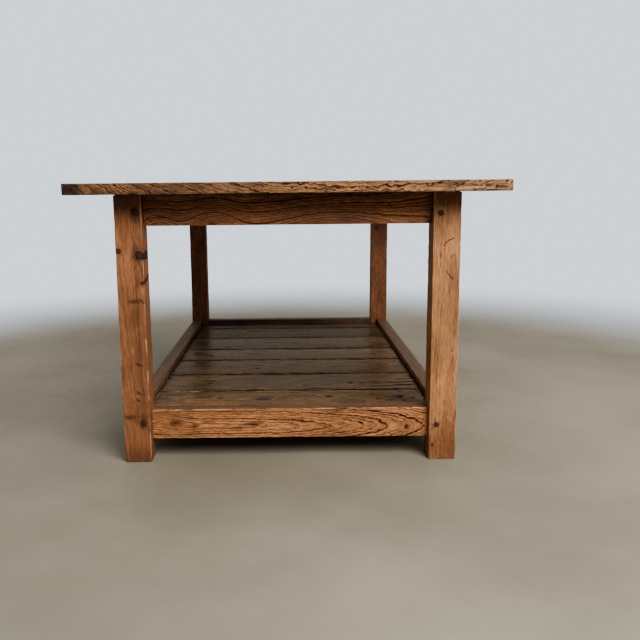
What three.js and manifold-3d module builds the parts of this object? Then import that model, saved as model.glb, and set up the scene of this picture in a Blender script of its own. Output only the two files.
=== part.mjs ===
// A low plank-top table with a boarded shelf: four square legs, an apron of
// four rails under the top, and four lower stretchers that carry the shelf.
// Mortise and tenon joints pinned by round pegs hold the frame; the top is
// tongued planks between two cross-grain end boards, held down by buttons.
//
// Millimetres, +Z up. The origin is on the floor under the middle of the
// table: +X runs across its width, +Y along its length, the front end at -Y.

import * as THREE from 'three';
import { mergeVertices } from 'three/addons/utils/BufferGeometryUtils.js';
import Module from 'manifold-3d';

// ---------------------------------------------------------------- dimensions

const HEIGHT = 467;
const TOP_WIDTH = 686;
const TOP_LENGTH = 1082;
const TOP_THICKNESS = 18;

const FRAME_WIDTH = 560;            // over the legs' outer faces
const FRAME_LENGTH = 956;
const LEG = 45;                     // square section

const RAIL_THICKNESS = 26;          // aprons and stretchers alike
const APRON_HEIGHT = 51;
const STRETCHER_HEIGHT = 51;
const STRETCHER_UNDERSIDE = 37;
const SIDE_RAIL_INSET = 2;          // leg's outer face to a side rail's
const END_RAIL_INSET = 15;          // leg's outer face to an end rail's

const TENON_THICKNESS = 10;
const SIDE_TENON_LENGTH = 32;
const END_TENON_LENGTH = 24;
const SIDE_TENON_SHOULDER = 5;      // rail's outer face to the tenon's cheek
const END_TENON_SHOULDER = 6;
const APRON_TENON_EDGE = 8;         // apron's edge to the tenon's edge
const STRETCHER_TENON_EDGE = 6;

const PEG_DIAMETER = 8.5;
const END_PEG_FROM_ARRIS = 12;      // peg's axis to the leg's inner arris
const SIDE_PEG_FROM_ARRIS = 8.5;
const END_PEG_ABOVE_RAIL = {        // over its underside, at the ends seen from outside
  left: { apron: 24.5, stretcher: 30.5 },
  right: { apron: 17, stretcher: 24.5 },
};
const SIDE_PEG_ABOVE_RAIL = { apron: 36, stretcher: 13 };

const SHELF_TOP = 77;
const BOARD_THICKNESS = 20;
const BOARD_WIDTHS = [135, 133, 134, 117, 140, 138, 77];   // front to back
const BOARD_GAP = 1;
const BOARD_END_GAP = 1.5;
const CLEAT_WIDTH = 22;

const PLANK_WIDTHS = [132, 141, 136, 144, 133];            // left to right
const END_BOARD_WIDTH = 90;
const PLANK_TONGUE = 6;             // thickness of every tongue
const EDGE_TONGUE_LENGTH = 6;
const END_TONGUE_LENGTH = 16;
const TOP_PEG_DIAMETER = 8;

const BUTTON = { length: 40, width: 26, height: 18, lip: 9, lipHeight: 8 };
const BUTTON_HOLD = 2;              // shadow gap at the button's shoulder
const SIDE_BUTTON_FROM_MIDDLE = 260;
const SCREW = { head: 4, shank: 2, headDepth: 3, length: 27, slot: 1.1 };

const FIT = 0.3;                    // gap between pieces that touch
const ROUND = 12;                   // sides of the pegs and screws
const REACH = 1;                    // how far a cutter passes a face

const topUnderside = HEIGHT - TOP_THICKNESS;
const legHeight = topUnderside - FIT;
const apronUnderside = topUnderside - APRON_HEIGHT;
const legX = (FRAME_WIDTH - LEG) / 2;
const legY = (FRAME_LENGTH - LEG) / 2;

// ----------------------------------------------------------------- materials

function wood(color, roughness) {
  return new THREE.MeshStandardMaterial({ color, roughness, metalness: 0 });
}

const materials = {
  leg: wood(0x8a5230, 0.6),
  apron: wood(0x7d4f28, 0.6),
  stretcher: wood(0x8f5a2f, 0.55),
  shelf: wood(0x3f2c1e, 0.35),
  top: wood(0x94673c, 0.5),
  peg: wood(0x3a2416, 0.6),
  hidden: wood(0x9a7448, 0.75),
  screw: new THREE.MeshStandardMaterial({ color: 0x8d8a84, roughness: 0.4, metalness: 1 }),
};

// ------------------------------------------------------------ solid geometry

const wasm = await Module();
wasm.setup();

function toSolid(geometry) {
  const bare = geometry.clone();
  bare.deleteAttribute('normal');
  bare.deleteAttribute('uv');
  const merged = mergeVertices(bare);
  return new wasm.Manifold(new wasm.Mesh({
    numProp: 3,
    vertProperties: new Float32Array(merged.attributes.position.array),
    triVerts: new Uint32Array(merged.index.array),
  }));
}

function toGeometry(solid) {
  const { vertProperties, triVerts } = solid.getMesh();
  const geometry = new THREE.BufferGeometry();
  geometry.setAttribute('position', new THREE.BufferAttribute(vertProperties, 3));
  geometry.setIndex(new THREE.BufferAttribute(triVerts, 1));
  geometry.computeVertexNormals();
  return geometry;
}

// A box between two corners, each given as [x, y, z].
function block(low, high) {
  const size = high.map((value, i) => value - low[i]);
  const middle = high.map((value, i) => (value + low[i]) / 2);
  return new THREE.BoxGeometry(...size).translate(...middle);
}

// A round bar along one axis, centred on a point.
function bar(axis, radius, length, centre) {
  const geometry = new THREE.CylinderGeometry(radius, radius, length, ROUND);
  if (axis === 'x') geometry.rotateZ(Math.PI / 2);
  if (axis === 'z') geometry.rotateX(Math.PI / 2);
  return geometry.translate(...centre);
}

function cut(body, cutters) {
  return cutters.reduce((solid, cutter) => solid.subtract(toSolid(cutter)), body);
}

function join(body, additions) {
  return additions.reduce((solid, addition) => solid.add(toSolid(addition)), body);
}

// ------------------------------------------------------------- the assembly

const table = new THREE.Group();

function place(name, geometry, material, x, y, z, turn = 0) {
  const mesh = new THREE.Mesh(geometry, materials[material]);
  mesh.name = name;
  mesh.position.set(x, y, z);
  mesh.rotation.z = turn;
  table.add(mesh);
}

// The rails at the two levels, each with its height and its underside.
const levels = {
  apron: {
    underside: apronUnderside,
    height: APRON_HEIGHT - FIT,
    tenonEdge: APRON_TENON_EDGE,
  },
  stretcher: {
    underside: STRETCHER_UNDERSIDE,
    height: STRETCHER_HEIGHT,
    tenonEdge: STRETCHER_TENON_EDGE,
  },
};

const corners = [
  { name: 'front_left', x: -1, y: -1 },
  { name: 'front_right', x: 1, y: -1 },
  { name: 'back_left', x: -1, y: 1 },
  { name: 'back_right', x: 1, y: 1 },
];

// Pegs in a leg's own frame, whose outer corner is towards (x, y): those that
// pin the end rails run along Y, those that pin the side rails run along X.
function pegsOf(corner, level) {
  const { underside } = levels[level];
  const half = LEG / 2;
  const hand = corner.x === -corner.y ? 'right' : 'left';
  return [
    {
      rail: 'end',
      axis: 'y',
      centre: [
        -corner.x * (half - END_PEG_FROM_ARRIS),
        0,
        underside + END_PEG_ABOVE_RAIL[hand][level],
      ],
    },
    {
      rail: 'side',
      axis: 'x',
      centre: [
        0,
        -corner.y * (half - SIDE_PEG_FROM_ARRIS),
        underside + SIDE_PEG_ABOVE_RAIL[level],
      ],
    },
  ];
}

// The two mortises of one level, in the same frame as the pegs.
function mortisesOf(corner, level) {
  const { underside, height, tenonEdge } = levels[level];
  const half = LEG / 2;
  const low = underside + tenonEdge - FIT;
  const high = underside + height - tenonEdge + FIT;
  const endCheek = half - END_RAIL_INSET - END_TENON_SHOULDER;
  const sideCheek = half - SIDE_RAIL_INSET - SIDE_TENON_SHOULDER;
  // Distances inward from the leg's axis, before they take the corner's signs.
  const endPocket = {
    x: [half - END_TENON_LENGTH - FIT, half + REACH],
    y: [-endCheek - FIT, TENON_THICKNESS - endCheek + FIT],
  };
  const sidePocket = {
    x: [-sideCheek - FIT, TENON_THICKNESS - sideCheek + FIT],
    y: [half - SIDE_TENON_LENGTH - FIT, half + REACH],
  };
  return [endPocket, sidePocket].map((pocket) => {
    const x = pocket.x.map((value) => -corner.x * value).sort((a, b) => a - b);
    const y = pocket.y.map((value) => -corner.y * value).sort((a, b) => a - b);
    return block([x[0], y[0], low], [x[1], y[1], high]);
  });
}

function makeLegs() {
  const half = LEG / 2;
  for (const corner of corners) {
    const cutters = [];
    for (const level of Object.keys(levels)) {
      cutters.push(...mortisesOf(corner, level));
      for (const peg of pegsOf(corner, level)) {
        const radius = PEG_DIAMETER / 2 + FIT;
        cutters.push(bar(peg.axis, radius, LEG + 2 * REACH, peg.centre));
      }
    }
    const post = toSolid(block([-half, -half, 0], [half, half, legHeight]));
    const geometry = toGeometry(cut(post, cutters));
    place(`leg_${corner.name}`, geometry, 'leg', corner.x * legX, corner.y * legY, 0);
  }
}

function makeJointPegs() {
  for (const corner of corners) {
    for (const level of Object.keys(levels)) {
      for (const peg of pegsOf(corner, level)) {
        place(
          `peg_${corner.name}_${level}_${peg.rail}`,
          bar(peg.axis, PEG_DIAMETER / 2, LEG, peg.centre),
          'peg',
          corner.x * legX,
          corner.y * legY,
          0,
        );
      }
    }
  }
}

// A rail in its own frame: its length along X, its outer face towards -Y and
// its underside at Z = 0, with a tenon at each end and a peg hole in each.
function railGeometry(level, kind, pockets) {
  const { height, tenonEdge } = levels[level];
  const isEnd = kind === 'end';
  const span = (isEnd ? FRAME_WIDTH : FRAME_LENGTH) - 2 * LEG;
  const tenonLength = isEnd ? END_TENON_LENGTH : SIDE_TENON_LENGTH;
  const shoulder = isEnd ? END_TENON_SHOULDER : SIDE_TENON_SHOULDER;
  const pegInset = isEnd ? END_PEG_FROM_ARRIS : SIDE_PEG_FROM_ARRIS;
  const side = SIDE_PEG_ABOVE_RAIL;
  const [leftPegs, rightPegs] = isEnd
    ? [END_PEG_ABOVE_RAIL.left, END_PEG_ABOVE_RAIL.right]
    : [side, side];

  const halfSpan = span / 2;
  const outer = -RAIL_THICKNESS / 2;
  const body = block([-halfSpan + FIT, outer, 0], [halfSpan - FIT, -outer, height]);
  const tenon = block(
    [-halfSpan - tenonLength, outer + shoulder, tenonEdge],
    [halfSpan + tenonLength, outer + shoulder + TENON_THICKNESS, height - tenonEdge],
  );
  const holes = [[-1, leftPegs], [1, rightPegs]].map(([end, heights]) => bar(
    'y',
    PEG_DIAMETER / 2 + FIT,
    RAIL_THICKNESS + 2 * REACH,
    [end * (halfSpan + pegInset), 0, heights[level]],
  ));
  return toGeometry(cut(join(toSolid(body), [tenon]), [...holes, ...pockets]));
}

// The slot for a button's lip, in an apron's inner face, in the rail's frame.
function buttonSlot(along) {
  const inner = RAIL_THICKNESS / 2;
  const lipTop = APRON_HEIGHT - BUTTON.height + BUTTON.lipHeight;
  return block(
    [along - BUTTON.width / 2 - 3, inner - BUTTON.lip - 1, lipTop - BUTTON.lipHeight - 1],
    [along + BUTTON.width / 2 + 3, inner + REACH, lipTop + 1],
  );
}

function makeRails() {
  const endY = FRAME_LENGTH / 2 - END_RAIL_INSET - RAIL_THICKNESS / 2;
  const sideX = FRAME_WIDTH / 2 - SIDE_RAIL_INSET - RAIL_THICKNESS / 2;
  for (const [level, { underside }] of Object.entries(levels)) {
    const endSlots = level === 'apron' ? [buttonSlot(0)] : [];
    const sideSlots = level === 'apron'
      ? [buttonSlot(-SIDE_BUTTON_FROM_MIDDLE), buttonSlot(SIDE_BUTTON_FROM_MIDDLE)]
      : [];
    const end = railGeometry(level, 'end', endSlots);
    const side = railGeometry(level, 'side', sideSlots);
    place(`${level}_front`, end, level, 0, -endY, underside);
    place(`${level}_back`, end, level, 0, endY, underside, Math.PI);
    place(`${level}_left`, side, level, -sideX, 0, underside, -Math.PI / 2);
    place(`${level}_right`, side, level, sideX, 0, underside, Math.PI / 2);
  }
}

// --------------------------------------------------------------------- shelf

const shelfHalfWidth = FRAME_WIDTH / 2 - SIDE_RAIL_INSET - RAIL_THICKNESS;
const shelfHalfLength = FRAME_LENGTH / 2 - END_RAIL_INSET - RAIL_THICKNESS;
const cleatTop = SHELF_TOP - BOARD_THICKNESS - FIT;

function makeCleats() {
  const halfLength = FRAME_LENGTH / 2 - LEG - FIT;
  const height = cleatTop - STRETCHER_UNDERSIDE;
  const cleat = block([0, -halfLength, 0], [CLEAT_WIDTH, halfLength, height]);
  const x = shelfHalfWidth - FIT;
  place('shelf_cleat_left', cleat, 'hidden', -x, 0, STRETCHER_UNDERSIDE);
  place('shelf_cleat_right', cleat, 'hidden', x, 0, STRETCHER_UNDERSIDE, Math.PI);
}

// Boards run across the table. The first and the last are notched round legs.
function makeShelfBoards() {
  const halfLength = shelfHalfWidth - BOARD_END_GAP;
  const legInner = FRAME_WIDTH / 2 - LEG - FIT - BOARD_GAP;
  const notchDepth = LEG - END_RAIL_INSET - RAIL_THICKNESS + FIT;
  const total = BOARD_WIDTHS.reduce((sum, width) => sum + width, 0);
  const stretch = (2 * shelfHalfLength) / total;
  let start = -shelfHalfLength;
  BOARD_WIDTHS.forEach((nominal, index) => {
    const width = nominal * stretch;
    const low = BOARD_GAP / 2;
    const high = width - BOARD_GAP / 2;
    const slab = block([-halfLength, low, 0], [halfLength, high, BOARD_THICKNESS]);
    const notches = [];
    for (const side of [-1, 1]) {
      const x = [side * legInner, side * (halfLength + REACH)].sort((a, b) => a - b);
      if (index === 0) {
        notches.push(block([x[0], -REACH, -REACH], [x[1], notchDepth, BOARD_THICKNESS + REACH]));
      }
      if (index === BOARD_WIDTHS.length - 1) {
        notches.push(block(
          [x[0], width - notchDepth, -REACH],
          [x[1], width + REACH, BOARD_THICKNESS + REACH],
        ));
      }
    }
    const geometry = toGeometry(cut(toSolid(slab), notches));
    const z = SHELF_TOP - BOARD_THICKNESS;
    place(`shelf_board_${index + 1}`, geometry, 'shelf', 0, start, z);
    start += width;
  });
}

// ----------------------------------------------------------------------- top

const tongueLow = (TOP_THICKNESS - PLANK_TONGUE) / 2;
const tongueHigh = tongueLow + PLANK_TONGUE;
const plankHalfLength = TOP_LENGTH / 2 - END_BOARD_WIDTH;
const outerPlankX = (TOP_WIDTH - PLANK_WIDTHS[0]) / 2;
const topPegFromShoulder = END_TONGUE_LENGTH / 2;
const buttonAxisInset = BUTTON.length / 2 - BUTTON.lip + 3;   // screw to the apron
const sideButtonX = shelfHalfWidth - buttonAxisInset;
const endButtonY = shelfHalfLength - buttonAxisInset;

// The screws' places, which the planks are drilled for and the buttons sit at.
// turn points the button's lip from +X towards its apron.
const buttons = [
  { name: 'left_front', x: -sideButtonX, y: -SIDE_BUTTON_FROM_MIDDLE, turn: Math.PI },
  { name: 'left_back', x: -sideButtonX, y: SIDE_BUTTON_FROM_MIDDLE, turn: Math.PI },
  { name: 'right_front', x: sideButtonX, y: -SIDE_BUTTON_FROM_MIDDLE, turn: 0 },
  { name: 'right_back', x: sideButtonX, y: SIDE_BUTTON_FROM_MIDDLE, turn: 0 },
  { name: 'front', x: 0, y: -endButtonY, turn: -Math.PI / 2 },
  { name: 'back', x: 0, y: endButtonY, turn: Math.PI / 2 },
];

const topPegs = corners.map((corner) => ({
  name: corner.name,
  x: corner.x * outerPlankX,
  y: corner.y * (plankHalfLength + topPegFromShoulder),
}));

function pilotHoles(middleX) {
  const depth = SCREW.length - BUTTON.height + 2;
  return buttons.map((button) => bar(
    'z',
    SCREW.shank + FIT,
    depth + REACH,
    [button.x - middleX, button.y, (depth - REACH) / 2],
  ));
}

function topPegHoles(middleX, middleY) {
  return topPegs.map((peg) => bar(
    'z',
    TOP_PEG_DIAMETER / 2 + FIT,
    TOP_THICKNESS + 2 * REACH,
    [peg.x - middleX, peg.y - middleY, TOP_THICKNESS / 2],
  ));
}

// Planks run along the table, each with a tongue on its right edge, a groove
// in its left edge, and a wider tongue on both ends for the end boards.
function makePlanks() {
  let left = -TOP_WIDTH / 2;
  PLANK_WIDTHS.forEach((width, index) => {
    const isFirst = index === 0;
    const isLast = index === PLANK_WIDTHS.length - 1;
    const middle = left + width / 2;
    const low = -width / 2 + (isFirst ? 0 : FIT / 2);
    const high = width / 2 - (isLast ? 0 : FIT / 2);
    const endY = plankHalfLength - FIT;
    const slab = toSolid(block([low, -endY, 0], [high, endY, TOP_THICKNESS]));
    const tongues = [block(
      [low + (isFirst ? END_TONGUE_LENGTH : 0), -endY - END_TONGUE_LENGTH, tongueLow],
      [high - (isLast ? END_TONGUE_LENGTH : 0), endY + END_TONGUE_LENGTH, tongueHigh],
    )];
    if (!isLast) {
      tongues.push(block(
        [high - REACH, -endY, tongueLow],
        [high + EDGE_TONGUE_LENGTH, endY, tongueHigh],
      ));
    }
    const cutters = [...pilotHoles(middle), ...topPegHoles(middle, 0)];
    if (!isFirst) {
      cutters.push(block(
        [low - REACH, -endY - REACH, tongueLow - FIT],
        [low + EDGE_TONGUE_LENGTH + FIT, endY + REACH, tongueHigh + FIT],
      ));
    }
    const geometry = toGeometry(cut(join(slab, tongues), cutters));
    place(`top_plank_${index + 1}`, geometry, 'top', middle, 0, topUnderside);
    left += width;
  });
}

// The end boards: a stopped groove takes the planks' tongues.
function makeEndBoards() {
  const halfWidth = TOP_WIDTH / 2;
  const halfGroove = halfWidth - END_TONGUE_LENGTH + FIT;
  for (const [name, side] of [['front', -1], ['back', 1]]) {
    const middleY = side * (TOP_LENGTH / 2 - END_BOARD_WIDTH / 2);
    const shoulder = -side * (END_BOARD_WIDTH / 2);
    const slab = toSolid(block(
      [-halfWidth, -END_BOARD_WIDTH / 2, 0],
      [halfWidth, END_BOARD_WIDTH / 2, TOP_THICKNESS],
    ));
    const y = [
      shoulder - side * REACH,
      shoulder + side * (END_TONGUE_LENGTH + FIT),
    ].sort((a, b) => a - b);
    const groove = block(
      [-halfGroove, y[0], tongueLow - FIT],
      [halfGroove, y[1], tongueHigh + FIT],
    );
    const geometry = toGeometry(cut(slab, [groove, ...topPegHoles(0, middleY)]));
    place(`top_end_${name}`, geometry, 'top', 0, middleY, topUnderside);
  }
}

function makeTopPegs() {
  for (const peg of topPegs) {
    const geometry = bar('z', TOP_PEG_DIAMETER / 2, TOP_THICKNESS, [0, 0, TOP_THICKNESS / 2]);
    place(`top_peg_${peg.name}`, geometry, 'peg', peg.x, peg.y, topUnderside);
  }
}

// ------------------------------------------------------- buttons and screws

// A button's lip points along +X. The screw's axis is the local Z axis.
function buttonGeometry() {
  const half = BUTTON.width / 2;
  const shoulder = buttonAxisInset - BUTTON_HOLD;
  const back = shoulder + BUTTON.lip + BUTTON_HOLD - BUTTON.length;
  const body = toSolid(block([back, -half, 0], [shoulder, half, BUTTON.height - FIT]));
  const lip = block(
    [shoulder - REACH, -half, 0],
    [shoulder + BUTTON_HOLD + BUTTON.lip, half, BUTTON.lipHeight],
  );
  const bore = bar('z', SCREW.shank + FIT, BUTTON.height * 2, [0, 0, BUTTON.height]);
  const sink = new THREE.LatheGeometry([
    new THREE.Vector2(0, -REACH),
    new THREE.Vector2(SCREW.head + FIT, -REACH),
    new THREE.Vector2(SCREW.head + FIT, FIT),
    new THREE.Vector2(SCREW.shank + FIT, SCREW.headDepth + FIT),
    new THREE.Vector2(0, SCREW.headDepth + FIT),
  ], ROUND).rotateX(Math.PI / 2);
  return toGeometry(cut(join(body, [lip]), [bore, sink]));
}

// A countersunk screw, head down, its head's face at Z = 0.
function screwGeometry() {
  const { head, shank, headDepth, length, slot } = SCREW;
  const tip = 3;
  const turned = new THREE.LatheGeometry([
    new THREE.Vector2(0, 0),
    new THREE.Vector2(head, 0),
    new THREE.Vector2(shank, headDepth),
    new THREE.Vector2(shank, length - tip),
    new THREE.Vector2(0, length),
  ], ROUND).rotateX(Math.PI / 2);
  const groove = block([-head - REACH, -slot / 2, -REACH], [head + REACH, slot / 2, slot]);
  return toGeometry(cut(toSolid(turned), [groove]));
}

function makeFastenings() {
  const z = topUnderside - BUTTON.height;
  const button = buttonGeometry();
  const screw = screwGeometry();
  for (const { name, x, y, turn } of buttons) {
    place(`button_${name}`, button, 'hidden', x, y, z, turn);
    place(`screw_${name}`, screw, 'screw', x, y, z, turn);
  }
}

makeLegs();
makeRails();
makeJointPegs();
makeCleats();
makeShelfBoards();
makePlanks();
makeEndBoards();
makeTopPegs();
makeFastenings();

export default table;
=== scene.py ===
"""A low plank-top table in old stained wood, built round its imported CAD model.

Every wooden piece is a fine mesh with worn arrises, intersected with its CAD
solid so that it keeps the real tenons, mortises, tongues and peg holes. Its
material is solid timber: growth rings round a pith line, bent by knots.
"""

import math

import bmesh
import bpy
import numpy as np
from mathutils import Matrix, Vector


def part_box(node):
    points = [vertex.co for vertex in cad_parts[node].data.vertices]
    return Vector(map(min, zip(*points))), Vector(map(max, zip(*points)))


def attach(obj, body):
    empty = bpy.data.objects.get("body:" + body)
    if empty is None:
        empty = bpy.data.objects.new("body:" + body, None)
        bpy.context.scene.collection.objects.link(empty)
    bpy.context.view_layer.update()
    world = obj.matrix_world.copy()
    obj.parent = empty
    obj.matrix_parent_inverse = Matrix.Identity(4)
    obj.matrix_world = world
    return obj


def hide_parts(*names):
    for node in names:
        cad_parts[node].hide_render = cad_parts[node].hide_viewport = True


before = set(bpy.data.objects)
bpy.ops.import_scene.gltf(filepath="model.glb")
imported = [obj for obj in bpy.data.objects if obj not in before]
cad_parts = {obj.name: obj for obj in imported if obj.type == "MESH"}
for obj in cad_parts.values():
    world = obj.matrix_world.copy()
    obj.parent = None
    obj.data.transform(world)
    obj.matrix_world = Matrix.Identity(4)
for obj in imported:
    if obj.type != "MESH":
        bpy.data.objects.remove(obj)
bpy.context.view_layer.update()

MM = 0.001
AXIS = {"X": Vector((1, 0, 0)), "Y": Vector((0, 1, 0)), "Z": Vector((0, 0, 1))}
CORNERS = ["front_left", "front_right", "back_left", "back_right"]
SKIN = 0.05 * MM          # how far a worn face lies inside its CAD face
SEAM = 0.3 * MM           # the CAD's gap between neighbouring planks
CORE_INSET = 3 * MM       # a tenon's or tongue's stock inside its board


# ---- smooth noise

def lattice_value(cell, seed):
    """A repeatable random number from -1 to 1 at each whole-number point.

    The large numbers are those of a common integer hash.
    """
    mixed = cell[:, 0] * 73856093 ^ cell[:, 1] * 19349663 ^ cell[:, 2] * 83492791
    mixed = (mixed + seed * 2654435761) & 0xFFFFFFFF
    mixed = ((mixed ^ (mixed >> 15)) * 2246822519) & 0xFFFFFFFF
    mixed = ((mixed ^ (mixed >> 13)) * 3266489917) & 0xFFFFFFFF
    return ((mixed ^ (mixed >> 16)) & 0xFFFF) / 32767.5 - 1


def noise(points, size, seed):
    """Smooth noise from -1 to 1 at points, with features of the given size."""
    scaled = points / np.asarray(size, float)
    cell = np.floor(scaled).astype(np.int64)
    part = scaled - cell
    part = part * part * (3 - 2 * part)
    total = np.zeros(len(points))
    for corner in np.ndindex(2, 2, 2):
        weight = np.prod(np.where(corner, part, 1 - part), axis=1)
        total += weight * lattice_value(cell + corner, seed)
    return total


# ---- worn blocks

NEAR_ARRIS = (0, 0.5, 1.1, 1.8, 2.7, 4.0, 6.0)      # grid lines beside an arris, mm in
LEAST_RADIUS = 0.3 * MM      # of an arris
# Sizes of the wear's noises, in metres: one for all axes, or along, across, through
ARRIS_WAVE, CHIP, WANE_WAVE, WANE_CHIP, WANE_GRAIN = 0.028, 0.011, 0.035, 0.009, 0.004
HOLLOW, RIPPLE = (0.06, 0.02, 0.02), (0.02, 0.007, 0.007)


def stations(half, step):
    """Grid places from -half to half, close together near both ends."""
    near = [d * MM for d in NEAR_ARRIS if d * MM < half * 0.8]
    inner = half - near[-1]
    middle = np.linspace(-inner, inner, max(2, math.ceil(2 * inner / step)) + 1)
    ends = np.array([half - d for d in near[:-1]])
    return np.concatenate([-ends, middle, ends[::-1]])


def shell(half, step):
    """The points and quads of a box's surface, as one closed grid."""
    xs, ys, zs = (stations(h, s) for h, s in zip(half, step))
    shape = (len(xs), len(ys), len(zs))
    index = np.full(shape, -1, np.int64)
    grid = np.indices(shape)
    last = np.array(shape).reshape(3, 1, 1, 1) - 1
    outside = ((grid == 0) | (grid == last)).any(axis=0)
    index[outside] = np.arange(outside.sum())
    i, j, k = (axis[outside] for axis in grid)
    points = np.stack([xs[i], ys[j], zs[k]], axis=1)
    quads = []
    for side in (
        index[0].T, index[-1],
        index[:, 0], index[:, -1].T,
        index[:, :, 0].T, index[:, :, -1],
    ):
        a, b, c, d = side[:-1, :-1], side[1:, :-1], side[1:, 1:], side[:-1, 1:]
        quads.append(np.stack([a, b, c, d], axis=-1).reshape(-1, 4))
    return points, np.concatenate(quads)


def soften(points, half, radius):
    """Rounds a box's arrises and corners to a radius given for each point."""
    inner = np.clip(points, -(half - radius), half - radius)
    out = points - inner
    return inner + out * (radius / np.linalg.norm(out, axis=1, keepdims=True))


def pare(points, half, signs, depth):
    """Cuts a long arris back to a waney bevel, with a depth for each point."""
    side = np.array([0, *signs])
    excess = points @ side - (half[1] + half[2] - depth)
    return points - np.clip(excess, 0, None)[:, None] * side / 2


def worn_block(half, step, wear, seed):
    """The points and quads of a hand-worn board, never outside its half size."""
    points, quads = shell(half, step)
    spread = noise(points, ARRIS_WAVE, seed)
    chips = np.clip(noise(points, CHIP, seed + 1) - 0.35, 0, None)
    radius = (wear["arris"] * (1 + 0.45 * spread) + wear["nicks"] * 2.2 * chips) * MM
    radius = np.clip(radius, LEAST_RADIUS, np.min(half) * 0.6)[:, None]
    worn = soften(points, half, radius)
    for signs, deepest, start, middle, reach in wear.get("wanes", ()):
        along = points * (1, 0.3, 0.3)
        depth = noise(along, WANE_WAVE, seed + 5) - start
        depth += 0.6 * noise(along, WANE_CHIP, seed + 6)
        depth += 0.25 * noise(points, WANE_GRAIN, seed + 7)
        depth *= np.exp(-((points[:, 0] - middle * MM) / (reach * MM)) ** 2)
        worn = pare(worn, half, np.array(signs), np.clip(depth * deepest, 0, None) * MM)
    hollow = 0.6 * noise(points, HOLLOW, seed + 2) + 0.4 * noise(points, RIPPLE, seed + 3)
    crown = wear.get("crown", 0) * MM * (points[:, 1] / half[1]) ** 2
    worn[:, 2] -= np.sign(points[:, 2]) * crown
    flat = np.abs(points) >= half - 1e-9
    inward = -np.sign(points) * flat
    worn += inward * np.clip(0.5 + hollow, 0, None)[:, None] * wear["dents"] * MM
    return worn, quads


# ---- mesh utilities

def new_mesh(name, points, faces):
    """A mesh from points and faces in any sequences."""
    mesh = bpy.data.meshes.new(name)
    mesh.from_pydata([tuple(p) for p in points], [], [tuple(map(int, f)) for f in faces])
    mesh.update()
    return mesh


def place(name, data, matrix=Matrix.Identity(4)):
    """A new object in the scene."""
    piece = bpy.data.objects.new(name, data)
    bpy.context.scene.collection.objects.link(piece)
    piece.matrix_world = matrix
    return piece


def plain_box(low, high):
    """A temporary box object, to join to a worn board."""
    signs = np.array(list(np.ndindex(2, 2, 2)))
    points = np.where(signs, np.array(high), np.array(low))
    faces = [(0, 1, 3, 2), (4, 6, 7, 5), (0, 4, 5, 1), (2, 3, 7, 6), (0, 2, 6, 4), (1, 5, 7, 3)]
    return place("stock", new_mesh("stock", points, faces))


def cad_copy(node):
    """A welded, closed copy of a CAD node's mesh, as a temporary object."""
    work = bmesh.new()
    work.from_mesh(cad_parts[node].data)
    bmesh.ops.remove_doubles(work, verts=work.verts, dist=1e-6)
    mesh = bpy.data.meshes.new("cad_copy")
    work.to_mesh(mesh)
    work.free()
    return place("cad_copy", mesh)


def combine(piece, other, operation):
    """Applies one boolean to a piece and removes the other object."""
    modifier = piece.modifiers.new("cut", "BOOLEAN")
    modifier.operation = operation
    modifier.solver = "MANIFOLD"
    modifier.object = other
    bpy.context.view_layer.update()
    depsgraph = bpy.context.evaluated_depsgraph_get()
    mesh = bpy.data.meshes.new_from_object(piece.evaluated_get(depsgraph))
    piece.modifiers.remove(modifier)
    mesh.name = piece.name
    mesh.materials.clear()
    piece.data = mesh
    bpy.data.objects.remove(other)


def smooth(piece, degrees):
    """Smooth shading, except over edges sharper than an angle."""
    mesh = piece.data
    mesh.polygons.foreach_set("use_smooth", [True] * len(mesh.polygons))
    mesh.polygons.foreach_set("material_index", [0] * len(mesh.polygons))
    mesh.set_sharp_from_angle(angle=math.radians(degrees))


def frame_of(centre, along, across):
    """A piece's own axes: x along the grain, y across it, z through it."""
    x, y = AXIS[along[-1]].copy(), AXIS[across[-1]].copy()
    if along.startswith("-"):
        x.negate()
    if across.startswith("-"):
        y.negate()
    matrix = Matrix((x, y, x.cross(y))).transposed().to_4x4()
    matrix.translation = centre
    return matrix


def finish_piece(piece, nodes, material, sharp=35):
    """Gives a piece its shading, material and body, and hides the nodes it replaces."""
    smooth(piece, sharp)
    piece.data.materials.append(material)
    for node in nodes:
        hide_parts(node)
    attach(piece, "root")
    return piece


# ---- material graphs

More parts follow.
